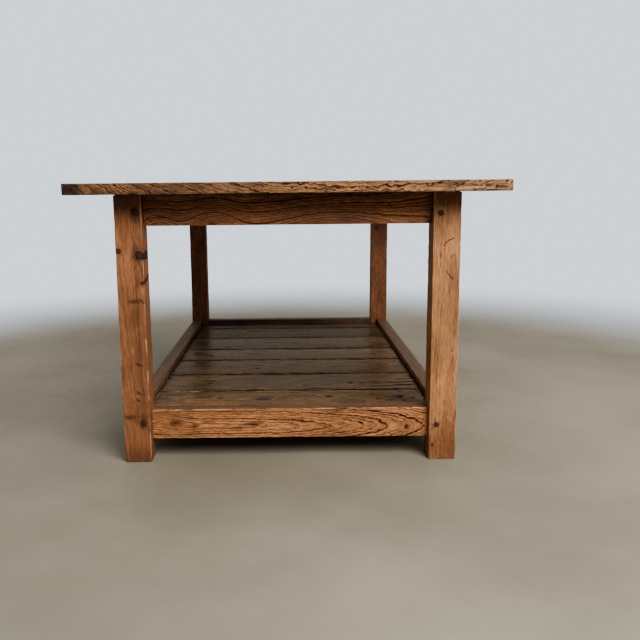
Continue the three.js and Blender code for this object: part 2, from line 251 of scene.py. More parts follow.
class Graph:
    """Short-hand for the nodes and links of a material or the world."""

    def __init__(self, owner):
        self.owner = owner
        owner.use_nodes = True
        self.tree = owner.node_tree
        self.shader = self.tree.nodes.get("Principled BSDF")
        coordinates = self.node("TexCoord").outputs
        self.place, self.normal = coordinates["Object"], coordinates["Normal"]

    def node(self, kind, inputs=None, **settings):
        node = self.tree.nodes.new("ShaderNode" + kind)
        for key, value in settings.items():
            setattr(node, key, value)
        for key, value in (inputs or {}).items():
            self.feed(node.inputs[key], value)
        return node

    def feed(self, socket, value):
        """Links a socket to an output, or sets it to a constant."""
        if isinstance(value, bpy.types.NodeSocket):
            self.tree.links.new(value, socket)
        else:
            socket.default_value = value

    def maths(self, operation, a, b=0.0, c=0.0):
        return self.node("Math", {0: a, 1: b, 2: c}, operation=operation).outputs[0]

    def times(self, a, b):
        return self.maths("MULTIPLY", a, b)

    def times_add(self, a, b, c):
        return self.maths("MULTIPLY_ADD", a, b, c)

    def vector(self, operation, a, b=(0, 0, 0), out=0):
        return self.node("VectorMath", {0: a, 1: b}, operation=operation).outputs[out]

    def length(self, vector):
        return self.vector("LENGTH", vector, out=1)

    def split(self, vector):
        """The x, y and z of a vector."""
        return self.node("SeparateXYZ", {0: vector}).outputs

    def scaled(self, vector, factor):
        node = self.node("VectorMath", {0: vector, "Scale": factor}, operation="SCALE")
        return node.outputs[0]

    def noise(self, place, scale, detail=2.0, rough=0.5, out="Fac"):
        """Noise at a place, multiplied first by one scale or by one for each axis."""
        scale = scale if isinstance(scale, tuple) else (scale, scale, scale)
        node = self.node("TexNoise", {
            "Vector": self.vector("MULTIPLY", place, scale),
            "Scale": 1.0, "Detail": detail, "Roughness": rough,
        })
        return node.outputs[out]

    def step(self, value, low, high, to_low=0.0, to_high=1.0, kind="SMOOTHSTEP"):
        """A step of value from low to high, smooth unless another kind is named."""
        node = self.node("MapRange", {
            "Value": value, "From Min": low, "From Max": high,
            "To Min": to_low, "To Max": to_high,
        }, interpolation_type=kind)
        return node.outputs[0]

    def mix(self, factor, a, b, mode="MIX"):
        """Blends two colours."""
        colours = [c if isinstance(c, bpy.types.NodeSocket) else (*c, 1) for c in (a, b)]
        node = self.node("Mix", {0: factor, 6: colours[0], 7: colours[1]},
                         data_type="RGBA", blend_type=mode)
        return node.outputs[2]

    def painted(self, colour, *coats):
        """Lays coats of (mask, paint) over a colour, one after the other."""
        for mask, paint in coats:
            if mask != 0.0:
                colour = self.mix(mask, colour, paint)
        return colour

    def done(self, colour, roughness, height, **constants):
        """Links the shader, and sets its constants on its own sockets."""
        self.feed(self.shader.inputs["Base Color"], colour)
        self.feed(self.shader.inputs["Roughness"], roughness)
        bump = self.node("Bump", {"Strength": 1.0, "Distance": MM, "Height": height})
        self.feed(self.shader.inputs["Normal"], bump.outputs[0])
        for name, value in constants.items():
            self.shader.inputs[name.replace("_", " ")].default_value = value
        return self.owner


def material_graph(name):
    return Graph(bpy.data.materials.new(name))


# ---- timber

# Scales of the timber's noises, per metre: along the grain, across it and through it
STREAKS = (15, 330, 330)
FIBRES = (75, 430, 430)
PORES = (60, 1100, 1100)
PATCHES = (8, 20, 20)
BROAD_TONES = (2.5, 7, 7)
STAINS = (12, 30, 30)
RAGGED_EDGES = (45, 150, 150)
RAGGED_SMUDGES = (90, 260, 260)
# The wandering of the rings, from slow to quick
SLOW_BENDS, MIDDLE_BENDS, ZIGZAGS = (2.4, 8, 8), (11, 34, 34), (85, 160, 160)

SEED_STEP = (0.731, 1.37, 2.113)      # metres that each seed moves the noises by
UPPER_SHADE_BROWN = (0.085, 0.047, 0.026)      # the painted shade on a stretcher's upper face
CAVITY_ROUGHNESS = 0.5      # added in dark lines, knots and dirt, which don't shine
REFERENCE_DEPTH = 0.02      # how far from the pith the rings have their named spacing


def pith_line(g, figure):
    """The nearest point of the log's pith line, and the line's slope there."""
    x = g.split(g.place)[0]
    pith = [0.0, *(v * MM for v in figure["pith"])]
    curve = g.scaled((0, *figure["bend"]), x)
    slope = g.vector("ADD", (0, *figure["slope"]), curve)
    line = g.vector("ADD", pith, g.scaled(slope, x))
    return line, g.vector("ADD", slope, curve)


def ring_field(g, seeded, figure):
    """Distance from the pith line, its gradient, and the place moved by the wandering."""
    moved = g.place
    for scale, detail, amount in (
        (SLOW_BENDS, 1.0, 2.0 * figure["wobble"]),
        (MIDDLE_BENDS, 1.0, 0.8 * figure["wobble"]),
        (ZIGZAGS, 2.0, 2.4 * figure["zigzag"]),
    ):
        shift = g.noise(seeded, scale, detail, out="Color")
        centred = g.vector("SUBTRACT", shift, (0.5, 0.5, 0.5))
        moved = g.vector("ADD", moved, g.scaled(centred, amount * MM))
    line, slope = pith_line(g, figure)
    out = g.vector("MULTIPLY", g.vector("SUBTRACT", moved, line), (0, 1, 1))
    distance = g.length(out)
    outward = g.vector("NORMALIZE", out)
    along = g.scaled((-1, 0, 0), g.vector("DOT_PRODUCT", outward, slope, out=1))
    return distance, g.vector("ADD", outward, along), moved


def oval_reach(g, place, centre, length, width):
    """How far a place is from an oval's centre: 1 at its rim."""
    away = g.vector("SUBTRACT", place, [v * MM for v in centre])
    shrunk = g.vector("MULTIPLY", away, [1 / (size * MM) for size in (length, width, width)])
    return g.length(shrunk)


def bell(g, reach):
    """1 at no reach, falling smoothly to 0 beyond a reach of about 2."""
    return g.maths("EXPONENT", g.times(g.times(reach, reach), -1.0))


def swollen(g, distance, moved, swells):
    """Pushes the rings outward round hidden knots, which makes nested arcs."""
    for centre, length, width, height in swells:
        bulge = bell(g, oval_reach(g, moved, centre, length, width))
        distance = g.maths("SUBTRACT", distance, g.times(bulge, height * MM))
    return g.maths("MAXIMUM", distance, 0.0)


def knotted(g, distance, moved, knots):
    """Bends the rings round each knot. Returns distance, knot mask and halo."""
    mask, halo = 0.0, 0.0
    for centre, axis, radius, strength in knots:
        away = g.vector("SUBTRACT", moved, [v * MM for v in centre])
        across = g.vector("CROSS_PRODUCT", away, Vector(axis).normalized())
        reach = g.length(across)
        ragged = g.noise(moved, 700 / radius, 3.0, 0.6)
        ratio = g.maths("DIVIDE", reach, radius * MM)
        ratio = g.times_add(ragged, -1.7, g.maths("ADD", ratio, 0.85))
        bulge = bell(g, g.maths("DIVIDE", reach, radius * 1.7 * MM))
        distance = g.maths("SUBTRACT", distance, g.times(bulge, radius * 0.9 * MM))
        core = g.step(ratio, 1.15, 0.75, 0.0, strength)
        core = g.times(core, g.step(ratio, 0.75, 0.2, 1.0, 0.72))
        mask = g.maths("MAXIMUM", mask, core)
        halo = g.maths("MAXIMUM", halo, g.times(bulge, strength))
    return distance, mask, halo


def ring_lines(g, distance, gradient, streaks, figure):
    """The thin dark lines between rings, the shade and the part of the ring at a point.

    The lines have about the same width on every face, however the rings meet it.
    """
    power, spacing = figure["power"], figure["spacing"] * MM
    at = REFERENCE_DEPTH
    phase = g.maths("POWER", distance, power)
    phase = g.maths("DIVIDE", phase, power * spacing * at ** (power - 1))
    uneven = g.node("TexNoise", {"W": phase, "Scale": 0.7, "Detail": 1.0},
                    noise_dimensions="1D").outputs["Fac"]
    phase = g.times_add(uneven, 1.5, phase)
    phase = g.times_add(streaks, 0.22, phase)
    part = g.maths("FRACT", phase)
    ring = g.node("TexWhiteNoise", {"W": g.maths("FLOOR", phase)},
                  noise_dimensions="1D").outputs["Value"]
    facing = g.vector("DOT_PRODUCT", gradient, g.normal, out=1)
    cut = g.length(g.vector("SUBTRACT", gradient, g.scaled(g.normal, facing)))
    width = g.times(cut, figure["line"] * MM / spacing)
    crowding = g.maths("POWER", g.maths("DIVIDE", distance, at), power - 1)
    width = g.times(width, crowding)
    width = g.maths("MINIMUM", g.maths("MAXIMUM", width, 0.07), 0.55)
    start = g.maths("SUBTRACT", 1.0, width)
    line = g.step(part, start, g.times_add(width, -0.35, 1.0))
    line = g.times(line, g.step(part, 1.0, 0.965))
    line = g.times(line, g.step(ring, 0.0, 0.6, 0.55, 1.0))
    return line, g.maths("POWER", part, 1.5), part


def marks(g, strokes):
    """Thin scratches and cracks, each from point to point on the surface."""
    mask = 0.0
    for start, end, width in strokes:
        start, end = Vector(start) * MM, Vector(end) * MM
        run = end - start
        away = g.vector("SUBTRACT", g.place, start)
        share = g.vector("DOT_PRODUCT", away, run / run.length_squared, out=1)
        share = g.maths("MINIMUM", g.maths("MAXIMUM", share, 0.0), 1.0)
        reach = g.length(g.vector("SUBTRACT", away, g.scaled(run, share)))
        mask = g.maths("MAXIMUM", mask, g.step(reach, width * MM, width * 0.4 * MM))
    return mask


def smudges(g, seeded, spots):
    """Soft dark smudge marks, longer along the grain than across it: some soiling, some painted
    shade.
    """
    mask = 0.0
    ragged = g.noise(seeded, RAGGED_SMUDGES, 3.0, 0.65)
    for centre, length, width, strength in spots:
        reach = oval_reach(g, g.place, centre, length, width)
        reach = g.times_add(ragged, -1.6, g.maths("ADD", reach, 0.8))
        mask = g.maths("MAXIMUM", mask, g.step(reach, 1.1, 0.15, 0.0, strength))
    return mask


def arris_distance(g, half):
    """Distance from the nearest arris, on the surface of a board."""
    gaps = g.vector("SUBTRACT", [float(h) for h in half], g.vector("ABSOLUTE", g.place))
    a, b, c = g.split(gaps)
    low, high = g.maths("MINIMUM", a, b), g.maths("MAXIMUM", a, b)
    return g.maths("MAXIMUM", low, g.maths("MINIMUM", high, c))


def grey(g, value):
    return g.node("CombineColor", {0: value, 1: value, 2: value}).outputs[0]


def timber_noises(g, seeded, finish):
    """The noises that a timber's colour and surface share."""
    across = [scale * finish["fine"] for scale in FIBRES[1:]]
    return {
        "streaks": g.noise(seeded, STREAKS, 4.0, 0.68),
        "fibre": g.noise(seeded, (FIBRES[0], *across), 4.0, 0.7),
        "patch": g.noise(seeded, PATCHES, 3.0, 0.55),
        "ragged": g.noise(seeded, RAGGED_EDGES, 3.0, 0.6),
    }


def wood_tone(g, seeded, noises, shade, finish):
    """The stained wood between its dark lines, with streaks and blotches."""
    streaks, blotch, grain = noises["streaks"], finish["blotch"], finish["grain"]
    body = g.times_add(shade, 0.4, g.times(streaks, 0.9))
    colour = g.mix(g.step(body, 0.3, 0.95), finish["light"], finish["middle"])
    tone = g.step(noises["patch"], 0.3, 0.7, 1 - 1.1 * blotch, 1 + 0.7 * blotch)
    for factor in (
        g.step(g.noise(seeded, BROAD_TONES, 1.0), 0.3, 0.7, 0.86, 1.1),
        g.step(streaks, 0.34, 0.66, 1 - 0.3 * grain, 1 + 0.26 * grain),
        g.step(noises["fibre"], 0.34, 0.66, 1 - 0.42 * grain, 1 + 0.34 * grain),
    ):
        tone = g.times(tone, factor)
    return g.mix(1.0, colour, grey(g, tone), "MULTIPLY")


def painted_upper_shade_and_dark_ends(g, colour, half, patch, finish):
    """Paints shade on an upper face as a darker brown, and darkens the board's ends."""
    if finish["upper"]:
        # painted shade: the faces that look up turn a darker brown
        up = g.split(g.normal)[1]
        upper_face_shade = g.times(g.step(up, 0.75, 0.97), g.step(patch, 0.2, 0.6, 0.6, 1.0))
        colour = g.mix(g.times(upper_face_shade, finish["upper"]), colour, UPPER_SHADE_BROWN)
    if finish["ends"]:
        x = g.split(g.place)[0]
        out = g.times_add(patch, 0.03, g.maths("ABSOLUTE", x))
        out = g.step(out, float(half[0]) - 0.05, float(half[0]) + 0.02, 0.0, finish["ends"])
        colour = g.mix(out, colour, finish["dark"])
    return colour


def arris_masks(g, half, noises, finish):
    """Masks along the arrises: bare worn wood, soiling with painted seam shade, and a painted
    seam shadow at the arris.
    """
    ragged = noises["ragged"]
    edge = arris_distance(g, half)
    width = finish["wear_width"] * MM
    worn_to = g.step(ragged, 0.35, 0.72, 0.15 * width, width)
    worn = g.step(g.maths("DIVIDE", edge, worn_to), 1.0, 0.35)
    worn = g.times(worn, finish["wear"])
    soil_and_shade, groove = 0.0, 0.0
    # soiling along the arrises, which on the shelf and top is also painted shade in the seams
    if finish["grime"]:
        soil_and_shade = g.maths("DIVIDE", edge, g.step(ragged, 0.3, 0.7, 0.12, 1.8))
        soil_and_shade = g.step(soil_and_shade, finish["grime_width"] * MM, 0.0, 0.0, finish["grime"])
    # painted shadow of the seam between boards, a nearly black line at the arris
    if finish["groove"]:
        reach = g.step(noises["patch"], 0.36, 0.64, 0.35, 1.8)
        reach = g.times(g.step(ragged, 0.3, 0.7, 0.4, 1.8), reach)
        groove = g.maths("DIVIDE", edge, reach)
        groove = g.step(groove, finish["groove"] * MM, 0.5 * finish["groove"] * MM)
        worn = g.times(worn, g.maths("SUBTRACT", 1.0, groove))
    return worn, soil_and_shade, groove


def timber_material(name, half, figure, finish):
    """Solid timber with its rings, pores, knots, stains, scratches and worn arrises."""
    g = material_graph(name)
    dark, deep, bare = finish["dark"], finish["knot"], finish["bare"]
    seeded = g.vector("ADD", g.place, [figure["seed"] * step for step in SEED_STEP])
    noises = timber_noises(g, seeded, finish)
    streaks, fibre, patch = noises["streaks"], noises["fibre"], noises["patch"]

    distance, gradient, moved = ring_field(g, seeded, figure)
    distance = swollen(g, distance, moved, figure["swells"])
    distance, knot, halo = knotted(g, distance, moved, figure["knots"])
    line, shade, part = ring_lines(g, distance, gradient, streaks, figure)
    broken = g.step(fibre, 0.28, 0.46, 0.8, 1.0)
    line = g.times(g.times(line, broken), figure["contrast"])
    pore = g.step(g.noise(seeded, PORES, 1.0), 0.56, 0.68)
    pore = g.times(pore, g.step(part, 0.1, 0.7, 0.35, 1.0))
    stain = g.step(g.noise(seeded, STAINS, 3.0, 0.6), 0.54, 0.72)

    colour = g.painted(
        wood_tone(g, seeded, noises, shade, finish),
        (g.times(stain, finish["stains"]), dark),
        (line, dark),
        (g.times(pore, finish["pores"]), dark),
        (g.times(halo, 0.45), dark),
        # dark smudge marks: soiling, and some painted shade
        (smudges(g, seeded, figure["smudges"]), dark),
    )
    colour = painted_upper_shade_and_dark_ends(g, colour, half, patch, finish)
    worn, soil_and_shade, groove = arris_masks(g, half, noises, finish)
    colour = g.painted(colour, (soil_and_shade, deep), (worn, bare), (groove, deep))
    if figure["chips"]:
        torn = g.step(streaks, 0.42, 0.6, 0.05, 0.75)
        colour = g.mix(g.times(marks(g, figure["chips"]), torn), colour, bare)
    scratch = marks(g, figure["marks"])
    colour = g.painted(colour, (knot, deep), (g.times(scratch, 0.85), deep))

    cavity = line
    for mask in (knot, scratch, soil_and_shade, groove):
        cavity = g.maths("MAXIMUM", cavity, mask)
    rough = g.times_add(cavity, CAVITY_ROUGHNESS, finish["roughness"])
    rough = g.times_add(g.step(patch, 0.25, 0.75), 0.14, rough)
    rough = g.times_add(worn, 0.10, rough)
    rough = g.maths("MINIMUM", rough, 1.0)
    relief = finish["relief"]
    height = g.times(line, -relief)
    for mask, rise in ((fibre, 0.5 * relief), (pore, -0.08), (knot, 0.12), (scratch, -0.4)):
        height = g.times_add(mask, rise, height)
    return g.done(colour, rough, height, Specular_IOR_Level=finish["shine"])


# ---- finishes and figures

PLAIN_FINISH = {
    "pores": 0.5,  # how dark the pores and the broad stains are
    "stains": 0.3,
    "wear": 0.6,  # how bare the worn arrises are, and how wide in mm
    "wear_width": 2.2,
    "relief": 0.12,  # depth of the dark lines in the bump, mm
    "grime": 0.0,  # how dark the soiling and painted seam shade along the arrises are, and how wide in mm
    "grime_width": 6.0,
    "groove": 0.0,  # width in mm of a nearly black painted seam shadow at the arris itself
    "blotch": 0.2,  # how uneven the tone is
    "grain": 1.0,  # how strong the streaks and fibres are
    "fine": 1.0,  # how fine the fibres are
    "ends": 0.0,  # how much darker the board's ends are
    "upper": 0.0,  # how much painted shade darkens the upper face
    "shine": 0.4,  # specular level
}


def finish_of(light, middle, dark, knot, bare, roughness, **changes):
    """The colours and surface of one kind of finish."""
    return dict(PLAIN_FINISH, light=light, middle=middle, dark=dark, knot=knot, bare=bare,
                roughness=roughness, **changes)


LEG_FINISH = finish_of(
    (0.50, 0.218, 0.078), (0.35, 0.132, 0.041), (0.085, 0.023, 0.006), (0.022, 0.008, 0.003),
    (0.62, 0.33, 0.15), 0.48, stains=0.4, wear=0.7, wear_width=2.6, relief=0.10, blotch=0.28,
    ends=0.5, grain=0.75, shine=0.26, fine=1.7)
REDDER_LEG_FINISH = finish_of(
    (0.45, 0.170, 0.061), (0.29, 0.098, 0.033), (0.075, 0.021, 0.006), (0.016, 0.005, 0.002),
    (0.60, 0.31, 0.15), 0.44, stains=0.5, wear=0.75, wear_width=3.2, blotch=0.28, ends=0.5,
    grain=0.65, shine=0.3, fine=1.7)
# The back legs: a darker copy of the leg finish, as painted shade
SHADED_BACK_LEG_FINISH = finish_of(
    (0.33, 0.115, 0.038), (0.21, 0.066, 0.020), (0.060, 0.017, 0.005), (0.016, 0.005, 0.002),
    (0.50, 0.23, 0.10), 0.44, stains=0.5, wear=0.7, wear_width=2.6, blotch=0.28, ends=0.4,
    shine=0.25)
APRON_FINISH = finish_of(
    (0.39, 0.148, 0.050), (0.26, 0.085, 0.026), (0.022, 0.007, 0.003), (0.015, 0.005, 0.002),
    (0.42, 0.18, 0.07), 0.5, pores=0.35, wear_width=1.8, relief=0.14, blotch=0.24,
    grain=0.9, shine=0.26)
# upper is painted shade on the upper faces of the stretchers and side rails
STRETCHER_FINISH = finish_of(
    (0.61, 0.244, 0.084), (0.39, 0.131, 0.039), (0.020, 0.006, 0.0025), (0.03, 0.010, 0.004),
    (0.72, 0.39, 0.18), 0.46, pores=0.4, stains=0.45, wear=0.8, relief=0.14, blotch=0.26,
    upper=0.85, shine=0.2)
SIDE_RAIL_FINISH = finish_of(
    (0.25, 0.122, 0.056), (0.16, 0.07, 0.030), (0.035, 0.013, 0.006), (0.02, 0.008, 0.004),
    (0.40, 0.22, 0.11), 0.36, pores=0.4, stains=0.4, wear_width=2.0, relief=0.14,
    blotch=0.3, upper=0.5)
# The back stretcher: a much darker copy of the side rails' finish, as painted shade
SHADED_BACK_RAIL_FINISH = dict(
    SIDE_RAIL_FINISH, light=(0.11, 0.046, 0.019), middle=(0.068, 0.027, 0.011),
    dark=(0.018, 0.007, 0.003), knot=(0.014, 0.005, 0.002), bare=(0.26, 0.13, 0.06),
    roughness=0.42, shine=0.35)
TOP_FINISH = finish_of(
    (0.46, 0.205, 0.072), (0.27, 0.102, 0.030), (0.015, 0.005, 0.002), (0.014, 0.005, 0.002),
    (0.58, 0.34, 0.17), 0.42, stains=0.55, wear=0.5, wear_width=2.0, grime=0.5,
    grime_width=2.5, blotch=0.3, shine=0.24)
# The planks' arrises get soiling with painted seam shade, and a painted seam shadow
PLANK_FINISH = dict(TOP_FINISH, grime=0.7, grime_width=6.0, groove=1.5, stains=0.7, blotch=0.36)
STRETCHER_FINISHES = {"front": STRETCHER_FINISH, "back": SHADED_BACK_RAIL_FINISH}
HIDDEN_FINISH = finish_of(
    (0.42, 0.25, 0.12), (0.30, 0.165, 0.075), (0.13, 0.065, 0.03), (0.09, 0.04, 0.02),
    (0.48, 0.31, 0.17), 0.7, wear=0.2, wear_width=1.5)


def shelf_finish(tone, shine):
    """The shelf's dark satin finish, lighter or darker by a factor: the board's own tone, and
    painted shade on the back boards.
    """
    light, middle, bare = ([c * tone for c in colour] for colour in (
        (0.26, 0.132, 0.048), (0.13, 0.061, 0.020), (0.52, 0.30, 0.13)))
    # The arrises get soiling with painted seam shade, and a painted seam shadow
    return finish_of(
        light, middle, (0.020, 0.009, 0.004), (0.007, 0.0035, 0.002), bare, 0.2,
        stains=0.7, wear=0.85, wear_width=9.0, relief=0.10, grime=0.85, grime_width=10.0,
        blotch=0.5, grain=1.5, shine=shine, groove=3.8)


# Radius of the arrises, depth of the nicks in them and of the dents in the faces, and how
# much lower than its middle a crowned board's long edges are, all in mm
LEG_WEAR = {"arris": 1.1, "nicks": 2.2, "dents": 0.30}
RAIL_WEAR = {"arris": 0.9, "nicks": 1.4, "dents": 0.25}
TOP_WEAR = {"arris": 1.0, "nicks": 0.9, "dents": 0.22}
EDGE_WEAR = {"arris": 1.5, "nicks": 1.2, "dents": 0.25}
SHELF_WEAR = {"arris": 2.0, "nicks": 3.0, "dents": 0.45, "crown": 0.8}
BLOCK_WEAR = {"arris": 0.6, "nicks": 0.6, "dents": 0.15}
# The near-black sheet under the top, painted shade in the joint
SHADE_SHEET_WEAR = {"arris": 0.3, "nicks": 0.2, "dents": 0.02}
SHADE_SHEET_INSET = 2.2 * MM      # from the sides of the leg or apron below
SHADE_SHEET_DEPTH = 0.45 * MM     # into the leg or apron below


PLAIN_FIGURE = {
    "slope": (0, 0),  # of the log's pith line across the board and through it
    "bend": (0, 0),
    "spacing": 5.0,  # between rings, mm, and the power by which it varies
    "power": 1.0,
    "wobble": 5.0,  # how far the rings wander, slowly and quickly, mm
    "zigzag": 0.5,
    "contrast": 0.8,  # of the dark lines, and their width in mm
    "line": 0.8,
    "knots": (),  # centre, axis, radius, strength
    "swells": (),  # centre, length, width, height
    "smudges": (),  # centre, length, width, strength; soiling marks, and some painted shade
    "marks": (),  # start, end, width of each scratch or crack
    "chips": (),  # start, end, width of each torn pale strip
}


def on_face(items, face):
    """Gives each place in a list of marks its height in the board, if it has none."""
    return [[(*v, face) if isinstance(v, tuple) and len(v) == 2 else v for v in item]
            for item in items]


def figure_of(seed, pith, face=0, **changes):
    """One board's place in its log, and its marks, in mm from its middle."""
    figure = dict(PLAIN_FIGURE, seed=seed, pith=pith, **changes)
    for kind in ("knots", "swells", "smudges", "marks", "chips"):
        figure[kind] = on_face(figure[kind], face)
    return figure


def random_figure(seed, half, spacing=5.0, contrast=0.8, line=0.8, most_knots=2, cracks=0):
    """A figure drawn at random for a board that isn't matched."""
    draw = np.random.default_rng(seed)
    depth = draw.uniform(15, 45) * draw.choice([-1, 1])
    knots = []
    for _ in range(draw.integers(0, most_knots + 1)):
        along = draw.uniform(-0.85, 0.85) * half[0] / MM
        across = draw.uniform(-0.7, 0.7) * half[1] / MM
        tilt = (draw.uniform(-0.3, 0.3), draw.uniform(-0.2, 0.2), 1)
        knots.append(((along, across, 0), tilt, draw.uniform(2.5, 6), draw.uniform(0.5, 1)))
    marks = []
    for _ in range(cracks):
        x, y = draw.uniform(-0.9, 0.9) * half[0] / MM, draw.uniform(-0.95, 0.95) * half[1] / MM
        run, drift = draw.uniform(6, 45), draw.uniform(-2.5, 2.5)
        surface = float(half[2]) / MM
        marks.append(((x, y, surface), (x + run, y + drift, surface), draw.uniform(1.0, 2.6)))
    return figure_of(
        seed, (draw.uniform(-0.6, 0.6) * half[1] / MM, depth),
        slope=(draw.uniform(-0.02, 0.02), draw.uniform(-0.09, 0.09)),
        bend=(0, draw.uniform(-0.12, 0.12)),
        spacing=spacing * draw.uniform(0.8, 1.3), wobble=draw.uniform(4, 8),
        zigzag=draw.uniform(0.5, 1.0), contrast=contrast, line=line, power=1.3,
        knots=knots, marks=marks,
    )


# ---- the pieces

def timber(node, slot, along, across, finish, wear, seed, body=None, figure=None,
           step=(3, 5, 5), damage=None, **drawn):
    """A worn board that stands for a CAD node, in place and riding on it.

    Without a figure of its own, it gets one drawn at random with the other settings.
    """
    node_low, node_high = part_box(node)
    low, high = (Vector(v) for v in body or (node_low, node_high))
    matrix = frame_of((low + high) / 2, along, across)
    through = ({"X", "Y", "Z"} - {along[-1], across[-1]}).pop()
    order = ["XYZ".index(a) for a in (along[-1], across[-1], through)]
    half = np.array([(high - low)[i] / 2 - SKIN for i in order])
    points, quads = worn_block(half, [s * MM for s in step], wear, seed)
    piece = place(f"{node}_timber", new_mesh(node, points, quads), matrix)
    for i in range(3):
        if node_low[i] < low[i] - SEAM or node_high[i] > high[i] + SEAM:
            stock = [low + Vector((CORE_INSET,) * 3), high - Vector((CORE_INSET,) * 3)]
            stock[0][i], stock[1][i] = node_low[i] - MM, node_high[i] + MM
            combine(piece, plain_box(*stock), "UNION")
    combine(piece, cad_copy(node), "INTERSECT")
    figure = figure or random_figure(seed, half, **drawn)
    for kind, items in (damage or {}).items():
        figure[kind] = figure[kind] + on_face(items, SHELF_FACE)
    material = timber_material(f"{node}_wood", half, figure, finish)
    return finish_piece(piece, [node], material)


# Where the faces with placed marks lie, in mm from the board's middle through it
LEG_FACE, RAIL_FACE, SHELF_FACE = -22, 13, 10

LEFT_LEG_FIGURE = figure_of(
    3, (-30, 48), LEG_FACE, slope=(0.02, 0.03), spacing=2.2, wobble=3.5, zigzag=0.3,
    contrast=0.5, line=0.8,
    knots=[((196, 12), (0, 0, 1), 6.0, 0.6), ((127, 15), (0, 0.3, 1), 7.5, 1.0),
           ((134, -17), (0.1, 0, 1), 4.5, 1.0), ((84, 20, -20), (0.2, 0, 1), 4.5, 0.95),
           ((-54, 8), (0, 0.1, 1), 2.6, 0.6), ((-102, 6), (0.2, 0, 1), 2.8, 0.65),
           ((-114, 4), (0, 0, 1), 2.8, 0.65), ((-153, 12), (0, 0, 1), 6.0, 0.8)],
    # The first smudge is painted shade at the leg's top, under the table top's overhang
    smudges=[((222, 0), 34, 60, 0.6), ((-218, 0), 22, 40, 0.5), ((52, 6), 5, 18, 0.85),
             ((-145, -10), 6, 15, 0.85), ((196, 12), 20, 11, 0.95), ((-60, -6), 20, 5, 0.5),
             ((100, 22), 18, 6, 0.95), ((128, 12), 20, 12, 0.85), ((20, 4), 26, 12, 0.4),
             ((-145, 12), 12, 8, 0.7), ((150, -6), 22, 7, 0.35), ((-80, -19), 40, 4, 0.5),
             ((-158, 11.5), 11, 10, 0.9), ((-40, 8), 60, 10, 0.3)],
    marks=[((-52, 2), (-57, 14), 1.2), ((-99, 2), (-107, 10), 1.1),
           ((-112, 0), (-118, 7), 1.0), ((56, 14), (48, 20), 1.4)])
RIGHT_LEG_FIGURE = figure_of(
    8, (12, 40), LEG_FACE, slope=(0.008, 0.01), spacing=2.2, wobble=3, zigzag=0.2,
    contrast=0.6, line=0.7,
    knots=[((-198, -17), (0, 0, 1), 3.2, 0.8)],
    # The first smudge is painted shade at the leg's top, under the table top's overhang
    smudges=[((222, 4), 32, 50, 0.55), ((-190, 4), 80, 44, 0.58),
             ((-164, -11.5), 11, 10, 0.9), ((190, -11.5), 9, 9, 0.6),
             ((30, 16), 40, 4, 0.35), ((-60, -12), 70, 5, 0.3)],
    marks=[((150, 11), (147, 3), 1.4), ((147, 3), (138, -6), 1.1), ((97, 0), (91, 4), 1.2),
           ((91, 4), (84, 10), 1.5), ((126, -9.5), (118, -9), 1.0),
           ((112, -9), (104, -9.4), 0.9), ((-140, 21), (-152, 22), 1.4)])
LEG_FIGURES = {"front_left": LEFT_LEG_FIGURE, "front_right": RIGHT_LEG_FIGURE}
LEG_FINISHES = {"front_left": REDDER_LEG_FINISH, "front_right": LEG_FINISH}

# The front left leg's inner arris: for each waney cut, which arris, how deep in mm, the
# noise level where it starts, and where along the leg it is deepest and how far it reaches
TORN_ARRIS = [((1, -1), 4.0, 0.0, 0, 400), ((1, -1), 8.0, -0.6, 104, 40)]


def make_legs():
    for i, corner in enumerate(CORNERS):
        wear = dict(LEG_WEAR)
        if corner == "front_left":
            wear["wanes"] = TORN_ARRIS
        # the back legs take the darker finish, as painted shade
        finish = LEG_FINISHES.get(corner, SHADED_BACK_LEG_FINISH)
        timber(f"leg_{corner}", "leg_wood", "Z", "X", finish, wear, 10 + i,
               figure=LEG_FIGURES.get(corner), step=(3, 4, 4), spacing=2.8, contrast=0.5)


STRETCHER_FIGURE = figure_of(
    21, (-7, 5), RAIL_FACE, slope=(-0.01, -0.08), bend=(0.02, -0.2), spacing=3.2, wobble=5,
    zigzag=1.7, contrast=1.0, line=3.3, power=1.3,
    knots=[((-199, 0), (0.2, 0, 1), 5.5, 0.45), ((199, -9), (0, 0, 1), 5, 0.8)],
    swells=[((-199, 0), 24, 15, 9)],
    smudges=[((-192, 2), 14, 7, 0.7), ((-163, -4), 9, 5, 0.75), ((-138, 3), 16, 4, 0.7),
             ((-62, -1), 24, 5, 0.8), ((-88, -9), 14, 5, 0.6), ((10, 6), 30, 2.5, 0.5)])
APRON_FIGURE = figure_of(
    24, (-44, 4), RAIL_FACE, slope=(0.05, -0.03), bend=(0.25, -0.1), spacing=5.8,
    wobble=4.5, zigzag=1.5, contrast=0.88, line=4.4, power=1.15,
    knots=[((-125, -26), (0.2, 0, 1), 5, 0.5), ((-228, -14), (0, 0, 1), 2, 0.9),
           ((-222, -18), (0, 0, 1), 1.6, 0.9)],
    swells=[((-122, -36, 8), 38, 44, 42), ((-208, -36, 8), 24, 36, 22),
            ((62, -44, 8), 80, 46, 34)],
    # The first smudge is painted shade along the apron's top, under the table top's overhang
    smudges=[((0, 36), 420, 31, 0.86), ((238, 0), 26, 40, 0.6)])
RAIL_FIGURES = {"stretcher_front": STRETCHER_FIGURE, "apron_front": APRON_FIGURE}
RAIL_GRAIN = {"front": "X", "back": "-X", "left": "-Y", "right": "Y"}
RAIL_SEEDS = {"apron": 31, "stretcher": 41}


def between_legs():
    """Two opposite corners of the space between the legs."""
    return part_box("leg_front_left")[1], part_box("leg_back_right")[0]


